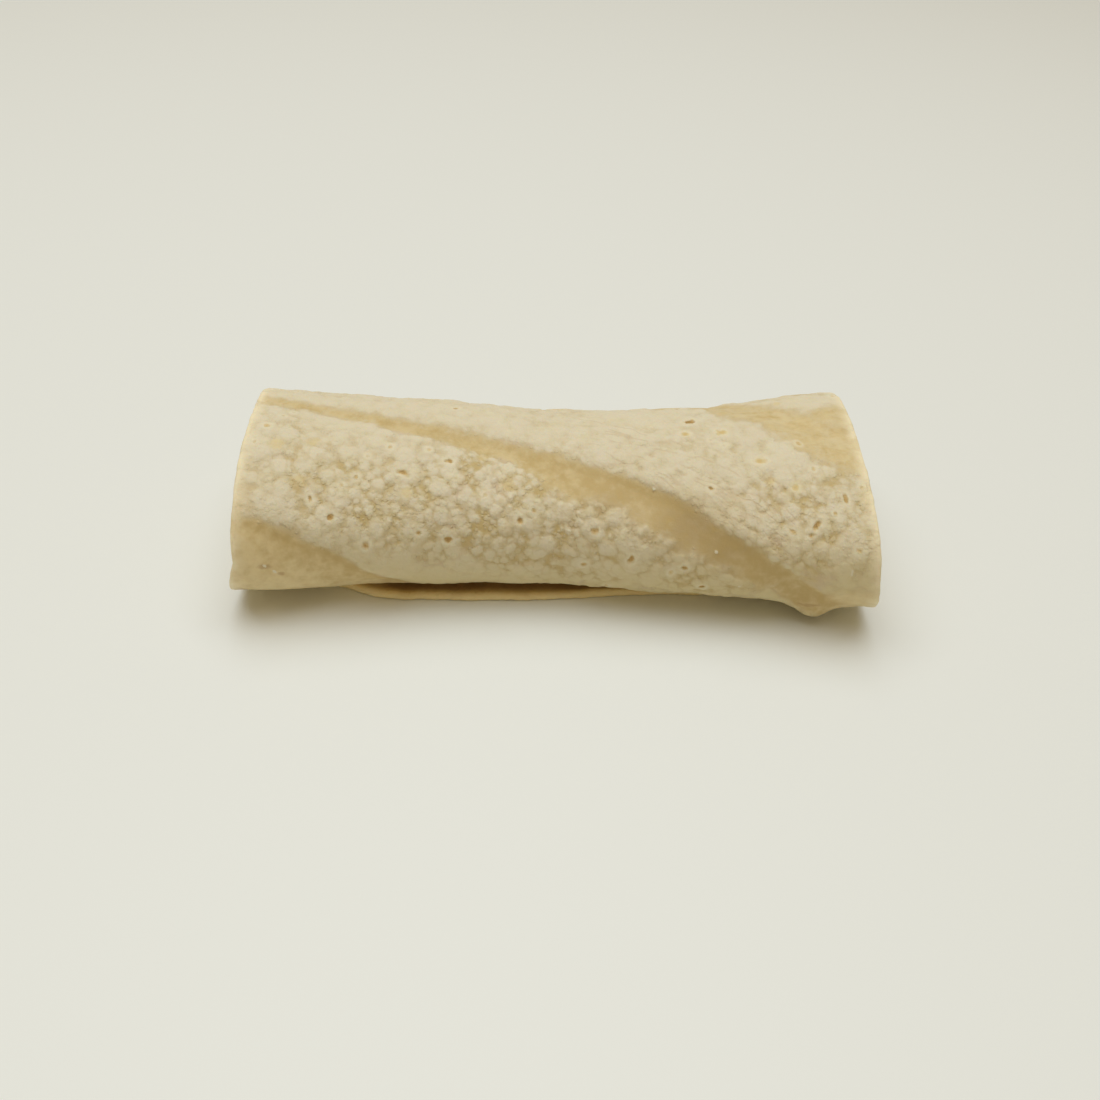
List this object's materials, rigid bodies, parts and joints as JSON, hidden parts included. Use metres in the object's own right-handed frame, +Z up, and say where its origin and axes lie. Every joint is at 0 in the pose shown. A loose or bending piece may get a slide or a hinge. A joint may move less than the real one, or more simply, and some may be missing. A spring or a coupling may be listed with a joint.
{
  "type": "burrito",
  "caption": "Filled wheat-tortilla roll with tucked ends, a waist, winding troughs and a free sheet edge under the front, lying on its seam.",
  "frame": {"origin": "middle of the bottom of the box round the roll, on the surface that it rests on", "axes": "+X along the roll towards its wider end, +Y to the back, away from the free edge of the sheet, +Z up"},
  "size_m": [0.1554, 0.0728, 0.0393],
  "materials": {
    "tortilla": "soft matt wheat dough, pale and floury where it blistered, tan and slightly sheer in the troughs, with small toasted pits"
  },
  "bodies": {
    "root": {"tortilla_roll": "tortilla"}
  },
  "joints": []
}
